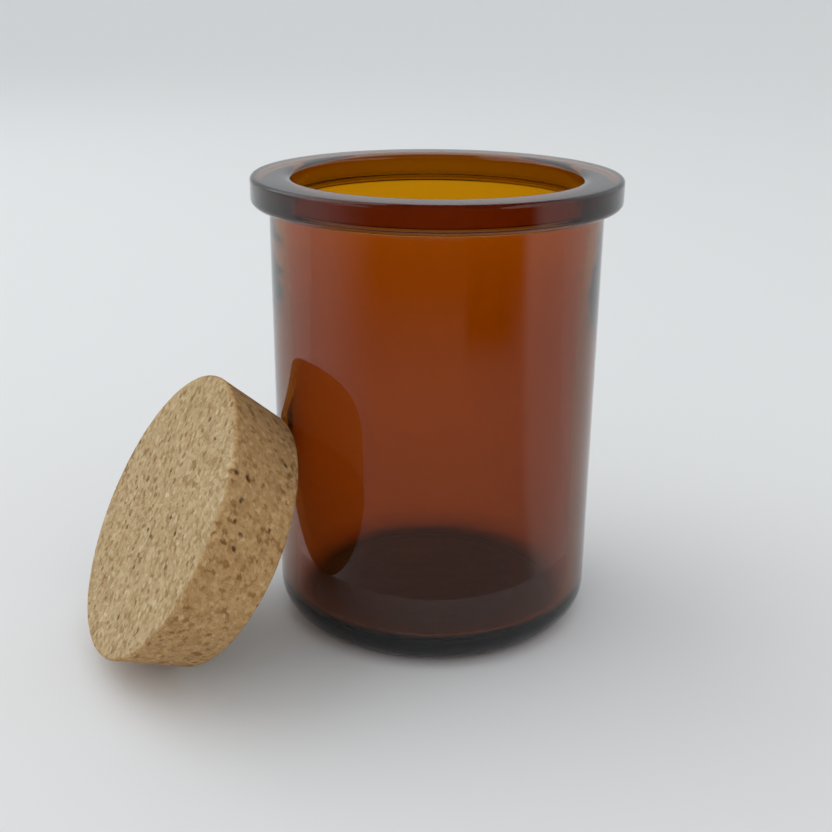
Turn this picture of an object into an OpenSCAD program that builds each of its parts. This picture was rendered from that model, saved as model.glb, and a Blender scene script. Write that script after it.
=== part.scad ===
// Apothecary jar: a moulded glass jar with a flat flanged rim, and its one-piece tapered cork
// stopper, which stands on the table beside the jar and leans on it.
// Millimetres, +Z up. The origin is the centre of the jar's flat base, and Z is the jar's axis.

/* [Jar] */
// Height from the base to the top of the rim
jar_h = 114; // [80:1:180]
// Outer diameter of the straight body
body_d = 81.6; // [76:0.2:110]
// Thickness of the body wall
wall = 4.2; // [2.6:0.1:5]
// Thickness of the wall just below the neck, where it is thinnest
shoulder_wall = 3.2; // [2.4:0.1:3.6]
// Height over which the wall thickens, below the neck
thinning_h = 30; // [10:1:40]
// Thickness of the base
base_t = 3.5; // [3:0.5:12]
// Radius of the outer heel, where the wall meets the base
heel_r = 8; // [3:0.5:10]
// Width of the rounded inside corner above the base
inner_heel_w = 14; // [8:0.5:20]
// Height of the rounded inside corner
inner_heel_h = 6; // [5:0.5:14]

/* [Rim] */
// How far the flange stands out from the body
flange_out = 4.4; // [3.5:0.1:8]
// Thickness of the flange
flange_t = 6.8; // [6.5:0.1:10]
// Rounding of the flange's top edge
flange_top_r = 1; // [0.5:0.1:2.5]
// Rounding of the flange's lower edge
flange_low_r = 1.6; // [0.5:0.1:2.5]
// Fillet under the flange
under_flange_r = 1; // [0.5:0.1:1.5]
// How far the neck stands in from the wall just below it
neck_in = 2.2; // [2:0.1:3]
// Height of each half of the S-curve below the neck
neck_curve_h = 1.2; // [1:0.1:3]
// Depth of the neck, from the rim down to the wider inside
neck_depth = 6.8; // [6.5:0.1:10]
// Width of the fire-rounded lip, seen from above
lip_in = 3.4; // [2:0.1:4.6]
// Height of the fire-rounded lip
lip_h = 1.1; // [0.8:0.1:1.8]

/* [Stopper] */
// Diameter of the stopper's large face
stopper_large_d = 72; // [70:0.5:80]
// Diameter of the stopper's small face
stopper_small_d = 65; // [55:0.5:68]
// Length of the stopper
stopper_h = 19.5; // [15:0.5:40]
// Rounding of the large face's edge
face_edge_r = 0.8; // [0.5:0.1:3]
// Rounding of the small face's edge, on which the stopper stands
foot_edge_r = 1.4; // [0.5:0.1:3]

/* [Leaning pose] */
// Direction that the large face looks in, seen from above, degrees from +X
look_direction = 204; // [180:0.5:240]
// Angle of the stopper's axis above the table
axis_rise = 30.5; // [22:0.5:40]
// Direction from the jar's axis to the stopper's foot, degrees from +X
foot_direction = 205.5; // [195:0.5:230]
// Clearance left between the cork and the glass
lean_gap = 0.2; // [0.1:0.05:0.5]

/* [Hidden] */

arc_steps = 12;         // steps along each rounded corner
turn_fn = 180;          // steps round each lathe-turned solid
search_steps = 40;      // halvings in the search for the point of contact
rim_samples = 360;      // points tried round the stopper's small edge

body_r = body_d / 2;
inner_r = body_r - wall;
shoulder_r = body_r - shoulder_wall;
neck_r = shoulder_r - neck_in;
flange_r = body_r + flange_out;
flange_z = jar_h - flange_t;
neck_z = jar_h - neck_depth;        // middle of the S-curve below the neck
shoulder_z = neck_z - neck_curve_h; // where the S-curve ends and the wall starts to thicken

large_r = stopper_large_d / 2;
small_r = stopper_small_d / 2;
taper = atan((large_r - small_r) / stopper_h);

// Points of an oval corner of radii rx and ry, from one angle to the other about a centre
function oval(cx, cy, rx, ry, from, to) =
    [for (i = [0:arc_steps]) let (a = from + (to - from) * i / arc_steps) [cx + rx * cos(a), cy + ry * sin(a)]];

// Points of a round corner
function arc(cx, cy, r, from, to) = oval(cx, cy, r, r, from, to);

// Points down the inside of the wall, eased from its thinnest to its full thickness
function thickening() =
    [for (i = [0:arc_steps]) let (t = i / arc_steps)
        [shoulder_r - (shoulder_r - inner_r) * (1 - cos(180 * t)) / 2, shoulder_z - thinning_h * t]];

// Radius of the stopper's slanted side at a height above its small face
function side_r(h) = small_r + (large_r - small_r) * h / stopper_h;

// Radius at which the centre of an edge rounding lies, at a height above the small face
function edge_centre_r(h, edge_r) = side_r(h) - edge_r / cos(taper);

foot_ring_r = edge_centre_r(foot_edge_r, foot_edge_r);

// Height that sets the rounded small edge on the table
lift = foot_ring_r * cos(axis_rise) - foot_edge_r * sin(axis_rise) + foot_edge_r;
// How far the foot lies in front of the small face's centre, along look_direction
foot_ahead = foot_ring_r * sin(axis_rise) + foot_edge_r * cos(axis_rise);

// Centre of the small face, seen from above, when the foot is at a distance from the jar's axis
function face_centre(foot_distance) =
    foot_distance * [cos(foot_direction), sin(foot_direction)]
    - foot_ahead * [cos(look_direction), sin(look_direction)];

// A point on the ring of edge centres, seen from above, from the small face's centre
function ring_point(a) =
    let (along = foot_ring_r * cos(a) * sin(axis_rise) + foot_edge_r * cos(axis_rise),
         across = foot_ring_r * sin(a))
    along * [cos(look_direction), sin(look_direction)]
    + across * [-sin(look_direction), cos(look_direction)];

// Clearance between the stopper's small edge and the jar's wall
function clearance(foot_distance) =
    min([for (i = [0:rim_samples - 1]) norm(face_centre(foot_distance) + ring_point(i * 360 / rim_samples))])
    - foot_edge_r - body_r;

// Foot distance that leaves lean_gap, found by halving the interval
function lean_distance(low, high, steps) =
    let (middle = (low + high) / 2)
    steps == 0 ? middle
    : clearance(middle) > lean_gap ? lean_distance(low, middle, steps - 1)
    : lean_distance(middle, high, steps - 1);

foot_distance = lean_distance(body_r, body_r + stopper_large_d, search_steps);

// Half section of the glass, in radius and height
module glass_profile() {
    polygon(concat(
        [[0, 0]],
        arc(body_r - heel_r, heel_r, heel_r, -90, 0),
        arc(body_r + under_flange_r, flange_z - under_flange_r, under_flange_r, 180, 90),
        arc(flange_r - flange_low_r, flange_z + flange_low_r, flange_low_r, -90, 0),
        arc(flange_r - flange_top_r, jar_h - flange_top_r, flange_top_r, 0, 90),
        oval(neck_r + lip_in, jar_h - lip_h, lip_in, lip_h, 90, 180),
        oval(neck_r + neck_in / 2, neck_z + neck_curve_h, neck_in / 2, neck_curve_h, 180, 270),
        oval(shoulder_r - neck_in / 2, shoulder_z, neck_in / 2, neck_curve_h, 90, 0),
        thickening(),
        oval(inner_r - inner_heel_w, base_t + inner_heel_h, inner_heel_w, inner_heel_h, 0, -90),
        [[0, base_t]]));
}

module glass_jar() {
    color([0.48, 0.24, 0.10, 0.6])
        rotate_extrude($fn = turn_fn) glass_profile();
}

// Half section of the stopper, small face down
module stopper_profile() {
    top = stopper_h - face_edge_r;
    polygon(concat(
        [[0, 0]],
        arc(foot_ring_r, foot_edge_r, foot_edge_r, -90, -taper),
        arc(edge_centre_r(top, face_edge_r), top, face_edge_r, -taper, 90),
        [[0, stopper_h]]));
}

module cork_stopper() {
    centre = face_centre(foot_distance);
    color([0.74, 0.62, 0.46])
        translate([centre[0], centre[1], lift])
            rotate([0, 90 - axis_rise, look_direction])
                rotate_extrude($fn = turn_fn) stopper_profile();
}

glass_jar();
cork_stopper();
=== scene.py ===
"""Looks of the apothecary jar: amber moulded glass, and a tapered agglomerated cork that leans on it.

Every length is in metres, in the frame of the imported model: +Z up, origin at the centre of the jar's base.
"""
import math

import bpy
import numpy as np
from mathutils import Matrix, Vector, kdtree, noise


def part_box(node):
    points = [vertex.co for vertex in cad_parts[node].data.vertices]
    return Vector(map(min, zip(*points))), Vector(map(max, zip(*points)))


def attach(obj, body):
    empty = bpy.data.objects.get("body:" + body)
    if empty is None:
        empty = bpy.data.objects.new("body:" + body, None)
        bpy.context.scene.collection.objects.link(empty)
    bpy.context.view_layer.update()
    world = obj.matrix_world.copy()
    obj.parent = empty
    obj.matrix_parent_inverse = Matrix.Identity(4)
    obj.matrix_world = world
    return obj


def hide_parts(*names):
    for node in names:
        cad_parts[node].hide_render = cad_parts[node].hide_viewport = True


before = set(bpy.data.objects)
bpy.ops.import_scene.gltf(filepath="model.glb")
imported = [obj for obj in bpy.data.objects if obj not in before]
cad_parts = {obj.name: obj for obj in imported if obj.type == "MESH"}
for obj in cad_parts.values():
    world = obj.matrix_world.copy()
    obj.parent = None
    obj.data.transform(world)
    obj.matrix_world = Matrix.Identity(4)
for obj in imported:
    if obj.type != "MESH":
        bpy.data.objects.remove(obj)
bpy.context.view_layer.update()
JAR_LOW, JAR_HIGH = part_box("glass_jar")
CORK_LOW, CORK_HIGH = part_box("cork_stopper")
MM = 0.001

# ---------------------------------------------------------------- sizes of the glass
JAR_HEIGHT = JAR_HIGH.z
FLANGE_R = (JAR_HIGH.x - JAR_LOW.x) / 2
FLANGE_OUT = 4.4 * MM
FLANGE_T = 6.8 * MM
FLANGE_TOP_R = 1.0 * MM
FLANGE_LOW_R = 1.6 * MM
UNDER_FLANGE_R = 1.0 * MM
BODY_R = FLANGE_R - FLANGE_OUT
WALL = 4.2 * MM
SHOULDER_WALL = 3.2 * MM    # thickness just below the neck
THINNING_H = 30.0 * MM      # height over which the wall thickens
BASE_T = 3.5 * MM
HEEL_R = 8.0 * MM
INNER_HEEL_W = 14.0 * MM     # the inside corner's width and height
INNER_HEEL_H = 6.0 * MM
INNER_R = BODY_R - WALL
SHOULDER_R = BODY_R - SHOULDER_WALL
NECK_IN = 2.2 * MM
NECK_R = SHOULDER_R - NECK_IN
NECK_DEPTH = 6.8 * MM
NECK_CURVE_H = 1.2 * MM
LIP_IN = 3.4 * MM
LIP_H = 1.1 * MM
GLASS_STEP = 1.2 * MM       # longest edge along the glass's outline
GLASS_TURN = 288            # points round the glass
GLASS_WAVE = 0.10 * MM      # how far the inside wanders from a true turned surface
GLASS_WAVE_SIZE = 17 * MM
GLASS_RIPPLE = 0.07 * MM    # the same for the level ripples just below the neck
GLASS_RIPPLE_SIZE = 4 * MM
TRUE_ABOVE = 1 * MM         # depth below the neck's lower edge at which the waves start
WAVY_BELOW = 6 * MM         # depth at which they are full
GLASS_TINT = (1.0, 0.54, 0.30)      # tint that each face of the glass adds
GLASS_DEPTH_TINT = (0.893, 0.838, 0.0)      # tint that the thickness of the glass adds
GLASS_DENSITY = 1400.0      # per metre

# ---------------------------------------------------------------- sizes of the cork
CORK_LARGE_R = 36.0 * MM
CORK_SMALL_R = 32.5 * MM
CORK_H = 19.5 * MM
CORK_FACE_EDGE_R = 0.8 * MM     # rounding of the large face's edge
CORK_FOOT_EDGE_R = 1.4 * MM     # rounding of the small face's edge
CORK_LOOK = math.radians(204)       # direction that the large face looks in, from +X
CORK_RISE = math.radians(30.5)      # angle of its axis above the table
CORK_STEP = 0.42 * MM       # spacing of points along the cork's outline
CORK_TURN = 540             # points round the cork
GRAIN = 1.1 * MM            # spacing of the granules
GRAIN_WARP = 0.34 * MM      # how far the granules' borders stray from straight
GRAIN_SUNK = 0.035 * MM     # the most that a granule is sunk below its neighbours
GLUE_WIDTH = 0.30 * MM      # width of the glue lines between granules
GLUE_DEPTH = 0.045 * MM
PIT_DEPTH = 0.30 * MM       # depth where a granule is missing
PIT_SHARE = 0.014           # share of the granules that are missing
DARK_SHARE = 0.08           # share of the granules that are bark-brown
ROUGH_DEPTH = 0.035 * MM    # fine roughness over everything
SEED = 11


# ---------------------------------------------------------------- outlines
def oval(cx, cy, rx, ry, start, end, steps=12):
    """Points of an oval corner about (cx, cy), between two angles in degrees."""
    angles = [math.radians(start + (end - start) * i / steps) for i in range(steps + 1)]
    return [(cx + rx * math.cos(a), cy + ry * math.sin(a)) for a in angles]


def arc(cx, cy, r, start, end, steps=12):
    """Points of a round corner."""
    return oval(cx, cy, r, r, start, end, steps)


def divided(points, longest):
    """The same outline with no edge longer than a limit, and no point given twice."""
    out = [points[0]]
    for r, z in points[1:]:
        r0, z0 = out[-1]
        length = math.hypot(r - r0, z - z0)
        if length < 1e-7:
            continue
        parts = max(1, math.ceil(length / longest))
        out += [(r0 + (r - r0) * i / parts, z0 + (z - z0) * i / parts) for i in range(1, parts + 1)]
    return out


def glass_outside():
    """Outline of the outer surface, from the centre of the base to the top of the rim."""
    flange_z = JAR_HEIGHT - FLANGE_T
    return ([(0, 0)]
            + arc(BODY_R - HEEL_R, HEEL_R, HEEL_R, -90, 0)
            + arc(BODY_R + UNDER_FLANGE_R, flange_z - UNDER_FLANGE_R, UNDER_FLANGE_R, 180, 90, 6)
            + arc(FLANGE_R - FLANGE_LOW_R, flange_z + FLANGE_LOW_R, FLANGE_LOW_R, -90, 0, 10)
            + arc(FLANGE_R - FLANGE_TOP_R, JAR_HEIGHT - FLANGE_TOP_R, FLANGE_TOP_R, 0, 90, 8))


def glass_inside():
    """Outline of the inner surface, from the rim down to the centre of the inside floor."""
    neck_z = JAR_HEIGHT - NECK_DEPTH
    shoulder_z = neck_z - NECK_CURVE_H
    half = NECK_IN / 2
    steps = [i / 16 for i in range(17)]
    thickening = [(SHOULDER_R - (SHOULDER_R - INNER_R) * (1 - math.cos(math.pi * t)) / 2,
                   shoulder_z - THINNING_H * t) for t in steps]
    return (oval(NECK_R + LIP_IN, JAR_HEIGHT - LIP_H, LIP_IN, LIP_H, 90, 180)
            + oval(NECK_R + half, neck_z + NECK_CURVE_H, half, NECK_CURVE_H, 180, 270)
            + oval(SHOULDER_R - half, shoulder_z, half, NECK_CURVE_H, 90, 0)
            + thickening
            + oval(INNER_R - INNER_HEEL_W, BASE_T + INNER_HEEL_H, INNER_HEEL_W, INNER_HEEL_H, 0, -90, 24)
            + [(0, BASE_T)])


def cork_outline():
    """Outline of the stopper, small face down, from the axis round to the axis."""
    taper = math.atan2(CORK_LARGE_R - CORK_SMALL_R, CORK_H)
    slope = (CORK_LARGE_R - CORK_SMALL_R) / CORK_H

    def corner(height, r, start, end):
        return arc(CORK_SMALL_R + slope * height - r / math.cos(taper), height, r, start, end, 8)
    tilt = math.degrees(taper)
    return ([(0, 0)]
            + corner(CORK_FOOT_EDGE_R, CORK_FOOT_EDGE_R, -90, -tilt)
            + corner(CORK_H - CORK_FACE_EDGE_R, CORK_FACE_EDGE_R, -tilt, 90)
            + [(0, CORK_H)])


# ---------------------------------------------------------------- meshes
def lathe(name, outline, turn):
    """A closed turned mesh. The outline's first and last points lie on the axis."""
    inner = outline[1:-1]
    rows = len(inner)
    angles = np.linspace(0, 2 * math.pi, turn, endpoint=False)
    ring = np.array(inner)
    verts = np.empty((rows, turn, 3))
    verts[:, :, 0] = ring[:, :1] * np.cos(angles)
    verts[:, :, 1] = ring[:, :1] * np.sin(angles)
    verts[:, :, 2] = ring[:, 1:]
    points = verts.reshape(-1, 3).tolist() + [(0, 0, outline[0][1]), (0, 0, outline[-1][1])]
    first, last = rows * turn, rows * turn + 1
    faces = []
    for i in range(turn):
        j = (i + 1) % turn
        faces.append((first, j, i))
        faces.append((last, (rows - 1) * turn + i, (rows - 1) * turn + j))
        faces += [(k * turn + i, k * turn + j, (k + 1) * turn + j, (k + 1) * turn + i)
                  for k in range(rows - 1)]
    mesh = bpy.data.meshes.new(name)
    mesh.from_pydata(points, [], faces)
    mesh.validate()
    mesh.shade_smooth()
    piece = bpy.data.objects.new(name, mesh)
    bpy.context.scene.collection.objects.link(piece)
    return piece


def get_points(mesh):
    co = np.empty(len(mesh.vertices) * 3)
    mesh.vertices.foreach_get("co", co)
    return co.reshape(-1, 3)


def set_points(mesh, co):
    mesh.vertices.foreach_set("co", co.astype(np.float32).ravel())
    mesh.update()


def get_normals(mesh):
    normals = np.empty(len(mesh.vertices) * 3)
    mesh.vertex_normals.foreach_get("vector", normals)
    return normals.reshape(-1, 3)


def smoothstep(low, high, x):
    t = np.clip((x - low) / (high - low), 0, 1)
    return t * t * (3 - 2 * t)


def fractal(co, size, seed, octaves=3):
    """Smooth noise from about -1 to 1 with features of a given size, at each point."""
    shift = Vector((seed * 7.31, seed * 3.77, seed * 5.13))
    return np.array([noise.fractal(Vector(p) / size + shift, 1.0, 2.0, octaves) for p in co.tolist()])


# ---------------------------------------------------------------- node helpers
class Nodes:
    """A material's or a world's node tree, with short calls to add and join nodes."""

    def __init__(self, owner):
        owner.use_nodes = True
        self.tree = owner.node_tree
        self.tree.nodes.clear()

    def add(self, kind, inputs=None, **settings):
        node = self.tree.nodes.new(kind)
        for key, value in settings.items():
            setattr(node, key, value)
        for key, value in (inputs or {}).items():
            if isinstance(value, bpy.types.NodeSocket):
                self.tree.links.new(value, node.inputs[key])
            else:
                node.inputs[key].default_value = value
        return node

    def ramp(self, fac, stops):
        node = self.add("ShaderNodeValToRGB", {"Fac": fac})
        for _ in stops[2:]:
            node.color_ramp.elements.new(0.5)
        for element, (position, colour) in zip(node.color_ramp.elements, stops):
            element.position = position
            element.color = (*colour, 1)
        return node.outputs["Color"]

    def mix(self, fac, a, b, blend_type="MIX"):
        node = self.add("ShaderNodeMix", data_type="RGBA", blend_type=blend_type)
        for index, value in ((0, fac), (6, a), (7, b)):
            if isinstance(value, bpy.types.NodeSocket):
                self.tree.links.new(value, node.inputs[index])
            elif index == 0:
                node.inputs[index].default_value = value
            else:
                node.inputs[index].default_value = (*value, 1)
        return node.outputs[2]


def srgb(r, g, b):
    """A colour given as it looks on a screen, 0 to 255, in linear light."""
    return tuple((c / 255 / 12.92) if c <= 10 else ((c / 255 + 0.055) / 1.055) ** 2.4 for c in (r, g, b))


# ---------------------------------------------------------------- amber glass
def amber_glass():
    material = bpy.data.materials.new("amber_glass")
    n = Nodes(material)
    shader = n.add("ShaderNodeBsdfPrincipled", {
        "Base Color": (*GLASS_TINT, 1), "Roughness": 0.015, "IOR": 1.52, "Transmission Weight": 1.0})
    tint = n.add("ShaderNodeVolumeAbsorption", {"Color": (*GLASS_DEPTH_TINT, 1), "Density": GLASS_DENSITY})
    n.add("ShaderNodeOutputMaterial", {"Surface": shader.outputs[0], "Volume": tint.outputs[0]})
    return material


def make_jar():
    outside = divided(glass_outside(), GLASS_STEP)
    inside = divided(glass_inside(), GLASS_STEP)
    jar = lathe("jar_glass", outside + inside[1:], GLASS_TURN)
    co = get_points(jar.data)
    radius = np.hypot(co[:, 0], co[:, 1])
    height = co[:, 2]
    neck_z = JAR_HEIGHT - NECK_DEPTH
    within = (radius < SHOULDER_R + 0.1 * MM) & (height > BASE_T - 0.1 * MM)
    below_neck = within * (1 - smoothstep(neck_z - WAVY_BELOW, neck_z - TRUE_ABOVE, height))
    shoulder = below_neck * smoothstep(neck_z - THINNING_H, neck_z - THINNING_H / 2, height)
    upright, level = np.array([1, 1, 0.45]), np.array([0.2, 0.2, 1])
    wander = fractal(co * upright, GLASS_WAVE_SIZE, 1, 2) * below_neck * GLASS_WAVE
    ripple = fractal(co * level, GLASS_RIPPLE_SIZE, 6, 2) * shoulder * GLASS_RIPPLE
    outward = np.stack([co[:, 0], co[:, 1], 0 * height], 1) / np.maximum(radius, 1e-9)[:, None]
    co += outward * (wander + ripple)[:, None]
    set_points(jar.data, co)
    jar.data.materials.append(amber_glass())
    return jar


# ---------------------------------------------------------------- cork
def cork_material():
    """Pressed cork granules. The mesh's "grain" layer holds tint, glue line, pit and how much is side; the
    side is painted darker and browner as shade, and the pits are painted dark as shade in the holes.
    """
    material = bpy.data.materials.new("agglomerated_cork")
    n = Nodes(material)
    grain = n.add("ShaderNodeAttribute", attribute_name="grain")
    parts = n.add("ShaderNodeSeparateColor", {"Color": grain.outputs["Color"]})
    tint, groove, pit = parts.outputs[0], parts.outputs[1], parts.outputs[2]
    place = n.add("ShaderNodeTexCoord").outputs["Object"]
    fine = n.add("ShaderNodeTexNoise", {"Vector": place, "Scale": 2600.0, "Detail": 4.0, "Roughness": 0.65})
    broad = n.add("ShaderNodeTexNoise", {"Vector": place, "Scale": 90.0, "Detail": 2.0})
    base = n.ramp(tint, [(0.0, srgb(130, 96, 62)), (0.22, srgb(166, 137, 96)), (0.5, srgb(190, 165, 124)),
                         (0.8, srgb(203, 181, 142)), (1.0, srgb(213, 194, 158))])
    white = (1.0, 1.0, 1.0)
    specks = n.ramp(fine.outputs["Fac"], [(0.3, (0.56, 0.5, 0.42)), (0.6, white)])
    mottled = n.mix(0.5, base, specks, "MULTIPLY")
    patches = n.ramp(broad.outputs["Fac"], [(0.35, (0.84, 0.78, 0.7)), (0.65, white)])
    toned = n.mix(0.3, mottled, patches, "MULTIPLY")
    # Painted shade: the whole side of the cork is made darker and browner than its faces.
    side_painted_shade = n.mix(grain.outputs["Alpha"], toned, (1.0, 0.84, 0.68), "MULTIPLY")
    grooved = n.mix(groove, side_painted_shade, srgb(122, 88, 56))
    # Painted shade: the pits where a granule is missing are coloured dark brown.
    pit_painted_shade = n.mix(pit, grooved, srgb(70, 43, 26))
    bump = n.add("ShaderNodeBump", {
        "Strength": 0.3, "Distance": 0.08 * MM, "Height": fine.outputs["Fac"]})
    shader = n.add("ShaderNodeBsdfPrincipled", {
        "Base Color": pit_painted_shade, "Roughness": 0.92, "Specular IOR Level": 0.25, "Normal": bump.outputs[0]})
    n.add("ShaderNodeOutputMaterial", {"Surface": shader.outputs[0]})
    return material


def granule_seeds(points, random):
    """Scattered granule centres, all through the box that holds the surface points."""
    low, high = points.min(0) - GRAIN, points.max(0) + GRAIN
    axes = [np.arange(a, b, GRAIN) for a, b in zip(low, high)]
    grid = np.stack(np.meshgrid(*axes, indexing="ij"), -1).reshape(-1, 3)
    grid += random.uniform(-0.5, 0.5, grid.shape) * GRAIN
    return grid[random.random(len(grid)) < 0.8]


def tree_of(points):
    tree = kdtree.KDTree(len(points))
    for i, p in enumerate(points.tolist()):
        tree.insert(p, i)
    tree.balance()
    return tree


def make_cork():
    random = np.random.default_rng(SEED)
    cork = lathe("cork_granules", divided(cork_outline(), CORK_STEP), CORK_TURN)
    co = get_points(cork.data)
    normals = get_normals(cork.data)

    warp = np.stack([fractal(co, GRAIN, s, 2) for s in (2, 3, 4)], 1) * GRAIN_WARP
    seeds = granule_seeds(co, random)
    tree = tree_of(seeds)
    nearest = [tree.find_n(p, 2) for p in (co + warp).tolist()]
    cell = np.array([found[0][1] for found in nearest])
    gap = np.array([found[1][2] - found[0][2] for found in nearest])

    draw = random.random((len(seeds), 4))
    tint = np.clip(0.55 + 0.16 * random.standard_normal(len(seeds)), 0, 1)
    tint[draw[:, 0] < DARK_SHARE] *= 0.3
    sunk = draw[:, 1] * GRAIN_SUNK
    missing = draw[:, 2] < PIT_SHARE

    roughness = fractal(co, 0.9 * MM, 5, 3)
    line = 1 - smoothstep(0.0, GLUE_WIDTH, gap)
    line *= 0.35 + 0.65 * draw[cell, 3]
    pit = missing[cell] * smoothstep(0.05 * MM, 0.4 * MM, gap)
    depth = sunk[cell] + line * GLUE_DEPTH + pit * PIT_DEPTH + (roughness * 0.5 + 0.5) * ROUGH_DEPTH
    set_points(cork.data, co - normals * np.clip(depth, 0, None)[:, None])

    colour = np.ones((len(co), 4), np.float32)
    colour[:, 0] = np.clip(tint[cell] + 0.10 * roughness, 0, 1)
    colour[:, 1] = line * 0.4
    # Pit mask; the material paints the pits dark as shade in the holes.
    colour[:, 2] = pit * 0.9
    # How much of the surface is side; the material paints the side darker and browner as shade.
    colour[:, 3] = smoothstep(0, 0.8, np.hypot(normals[:, 0], normals[:, 1]))
    layer = cork.data.attributes.new("grain", "FLOAT_COLOR", "POINT")
    layer.data.foreach_set("color", colour.ravel())
    cork.data.materials.append(cork_material())

    turn = Matrix.Rotation(CORK_LOOK, 4, "Z") @ Matrix.Rotation(math.pi / 2 - CORK_RISE, 4, "Y")
    turned = np.array(turn.to_3x3())
    plain = co @ turned.T
    middle = (CORK_LOW + CORK_HIGH) / 2
    shift = np.array(middle) - (plain.min(0) + plain.max(0)) / 2
    set_points(cork.data, get_points(cork.data) @ turned.T + shift)
    return cork


# ---------------------------------------------------------------- stage, lights, camera
def matte(name, colour, roughness=0.7):
    material = bpy.data.materials.new(name)
    n = Nodes(material)
    shader = n.add("ShaderNodeBsdfPrincipled", {
        "Base Color": (*colour, 1), "Roughness": roughness, "Specular IOR Level": 0.2})
    n.add("ShaderNodeOutputMaterial", {"Surface": shader.outputs[0]})
    return material


def make_sweep():
    """A pale floor that curves up into a backdrop a long way behind the jar."""
    half_width, front, back, height, bend = 40.0, -3.0, 40.0, 30.0, 8.0
    outline = [(front, 0.0)] + [
        (back + bend * math.sin(a), bend - bend * math.cos(a))
        for a in (math.radians(90 * i / 16) for i in range(17))] + [(back + bend, height)]
    verts = [(x, y, z) for y, z in outline for x in (-half_width, half_width)]
    faces = [(2 * i, 2 * i + 1, 2 * i + 3, 2 * i + 2) for i in range(len(outline) - 1)]
    mesh = bpy.data.meshes.new("sweep")
    mesh.from_pydata(verts, [], faces)
    sweep = bpy.data.objects.new("sweep", mesh)
    bpy.context.scene.collection.objects.link(sweep)
    mesh.materials.append(matte("pale_paper", srgb(226, 227, 228)))


def smooth_range(n, value, low, high, to_low=0.0, to_high=1.0):
    """A node output that goes smoothly from one value to another as its input goes from low to high."""
    node = n.add("ShaderNodeMapRange", {
        "Value": value, "From Min": low, "From Max": high, "To Min": to_low, "To Max": to_high},
        interpolation_type="SMOOTHSTEP")
    return node.outputs[0]


def combined(n, a, b, operation):
    """A node output that joins two values by a sum, a product or the like."""
    return n.add("ShaderNodeMath", {0: a, 1: b}, operation=operation).outputs[0]


def glow_sheet(name, verts, faces, strength, unseen):
    """A sheet with a given glow, which only some kinds of ray see and which casts no shadow."""
    material = bpy.data.materials.new(name)
    n = Nodes(material)
    glow = strength(n) if callable(strength) else strength
    emission = n.add("ShaderNodeEmission", {"Strength": glow})
    n.add("ShaderNodeOutputMaterial", {"Surface": emission.outputs[0]})
    mesh = bpy.data.meshes.new(name)
    mesh.from_pydata(verts, [], faces)
    mesh.materials.append(material)
    sheet = bpy.data.objects.new(name, mesh)
    bpy.context.scene.collection.objects.link(sheet)
    for ray in unseen:
        setattr(sheet, "visible_" + ray, False)


def grid_faces(rows, columns):
    return [(r * columns + c, r * columns + c + 1, (r + 1) * columns + c + 1, (r + 1) * columns + c)
            for r in range(rows - 1) for c in range(columns - 1)]


# The glowing sheet that paints the floor's reflection in the glass, with painted shade in front, a painted
# dark strip and painted light at the sides: distances in metres from the jar's axis, and directions from
# straight in front of it, positive to the right.
SHADE_REACH = (0.20, 0.47)      # distances between which the shaded floor in front darkens
SHADE_GLOW = (0.34, 0.02)       # its glow at those distances
SIDE_GLOW = 0.66                # glow of the lit floor at the sides
LEFT_EDGE = (math.radians(-80), math.radians(-34))      # where the lit left side fades into the shade
RIGHT_EDGE = (math.radians(53), math.radians(64))       # where the shade fades into the lit right side
STRIP_LEFT = (math.radians(16), math.radians(21))       # where the dark strip begins
STRIP_RIGHT = (math.radians(42), math.radians(56))      # where it ends
STRIP_REACH = (0.27, 0.35)      # distances between which it fades in


def shade_strength(n):
    """Glow of the sheet that paints the floor's reflection in the glass: painted shade in front, a painted
    dark strip, and painted light at the sides.
    """
    place = n.add("ShaderNodeSeparateXYZ", {"Vector": n.add("ShaderNodeTexCoord").outputs["Object"]})
    x, y = place.outputs["X"], place.outputs["Y"]
    turn = combined(n, x, combined(n, y, -1.0, "MULTIPLY"), "ARCTAN2")
    flat = n.add("ShaderNodeCombineXYZ", {"X": x, "Y": y})
    length = n.add("ShaderNodeVectorMath", {0: flat.outputs[0]}, operation="LENGTH")
    distance = length.outputs["Value"]
    strip = combined(n, smooth_range(n, turn, *STRIP_LEFT), smooth_range(n, turn, *STRIP_RIGHT, 1.0, 0.0),
                     "MULTIPLY")
    strip = combined(n, strip, smooth_range(n, distance, *STRIP_REACH), "MULTIPLY")
    front = combined(n, smooth_range(n, distance, *SHADE_REACH, *SHADE_GLOW),
                     combined(n, 1.0, strip, "SUBTRACT"), "MULTIPLY")
    sides = combined(n, smooth_range(n, turn, *LEFT_EDGE, 1.0, 0.0), smooth_range(n, turn, *RIGHT_EDGE),
                     "MAXIMUM")
    return n.add("ShaderNodeMapRange", {"Value": sides, "To Min": front, "To Max": SIDE_GLOW}).outputs[0]


def make_shade_card():
    """A glowing half ring over the floor in front of the jar, seen only in the glass's reflections, that
    paints the reflection of the floor there.
    """
    inner, outer, lift, steps = 0.075, 1.8, 0.4 * MM, 24
    angles = [math.pi * (1 + i / steps) for i in range(steps + 1)]
    verts = [(r * math.cos(a), r * math.sin(a), lift) for r in (inner, outer) for a in angles]
    glow_sheet("shade_card", verts, grid_faces(2, steps + 1), shade_strength,
               ("camera", "diffuse", "transmission", "volume_scatter", "shadow"))


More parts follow.
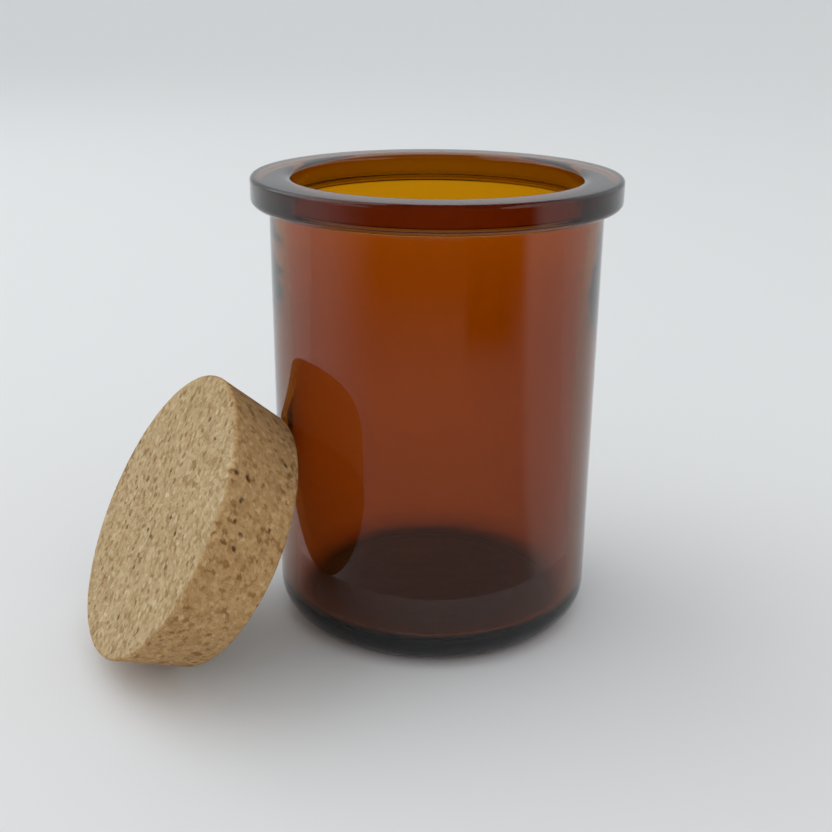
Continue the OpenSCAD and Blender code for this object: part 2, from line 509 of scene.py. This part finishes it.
def make_dark_room():
    """A dim glowing sheet that paints a dark reflection of the room's front and ceiling, which only shows in
    the glass.
    """
    left, right, radius, steps = -1.6, 1.4, 2.0, 16
    angles = [math.radians(-5 + 130 * i / steps) for i in range(steps + 1)]
    verts = [(x, -radius * math.cos(a), radius * math.sin(a)) for a in angles for x in (left, right)]
    glow_sheet("dark_room", verts, grid_faces(steps + 1, 2), 0.05,
               ("camera", "diffuse", "volume_scatter", "shadow"))


def add_area(name, place, aim, size, power):
    light = bpy.data.lights.new(name, "AREA")
    light.shape = "RECTANGLE"
    light.size, light.size_y = size
    light.energy = power
    lamp = bpy.data.objects.new(name, light)
    lamp.location = place
    lamp.rotation_euler = (Vector(aim) - Vector(place)).to_track_quat("-Z", "Y").to_euler()
    bpy.context.scene.collection.objects.link(lamp)


FRONT_LIGHT = 0.82      # strength of the room's light from behind the camera
BACK_LIGHT = 0.86       # and from the far side


def make_world():
    world = bpy.data.worlds.new("room")
    bpy.context.scene.world = world
    n = Nodes(world)
    direction = n.add("ShaderNodeTexCoord").outputs["Generated"]
    parts = n.add("ShaderNodeSeparateXYZ", {"Vector": direction})
    ahead = n.add("ShaderNodeMapRange", {
        "Value": parts.outputs["Y"], "From Min": -1.0, "From Max": 0.1,
        "To Min": FRONT_LIGHT, "To Max": BACK_LIGHT})
    background = n.add("ShaderNodeBackground", {
        "Color": (0.97, 0.99, 1.0, 1), "Strength": ahead.outputs[0]})
    n.add("ShaderNodeOutputWorld", {"Surface": background.outputs[0]})


CAMERA_DISTANCE = 0.305
CAMERA_AIM = Vector((-4.66, 0, 51.05)) * MM
CAMERA_ELEVATION = math.radians(20.2)
CAMERA_ROLL = math.radians(0.44)
CAMERA_LENS_MM = 50.5
SENSOR_MM = 36.0


def make_camera():
    data = bpy.data.cameras.new("camera")
    data.lens = CAMERA_LENS_MM
    data.sensor_width = SENSOR_MM
    data.clip_start = 0.01
    camera = bpy.data.objects.new("camera", data)
    ahead = Vector((0, math.cos(CAMERA_ELEVATION), -math.sin(CAMERA_ELEVATION)))
    up = Vector((0, math.sin(CAMERA_ELEVATION), math.cos(CAMERA_ELEVATION)))
    side = Vector((1, 0, 0))
    right = side * math.cos(CAMERA_ROLL) + up * math.sin(CAMERA_ROLL)
    top = up * math.cos(CAMERA_ROLL) - side * math.sin(CAMERA_ROLL)
    turn = Matrix((right, top, -ahead)).transposed().to_4x4()
    camera.matrix_world = Matrix.Translation(CAMERA_AIM - ahead * CAMERA_DISTANCE) @ turn
    bpy.context.scene.collection.objects.link(camera)
    bpy.context.scene.camera = camera


make_camera()
make_world()
make_sweep()
make_shade_card()
make_dark_room()
add_area("key", (-0.9, 0.25, 1.1), (0, 0, 0.05), (1.4, 1.4), 5.8)
bpy.context.scene.view_settings.view_transform = "Standard"

jar = make_jar()
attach(jar, "jar")
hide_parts("glass_jar")

cork = make_cork()
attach(cork, "stopper")
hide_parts("cork_stopper")
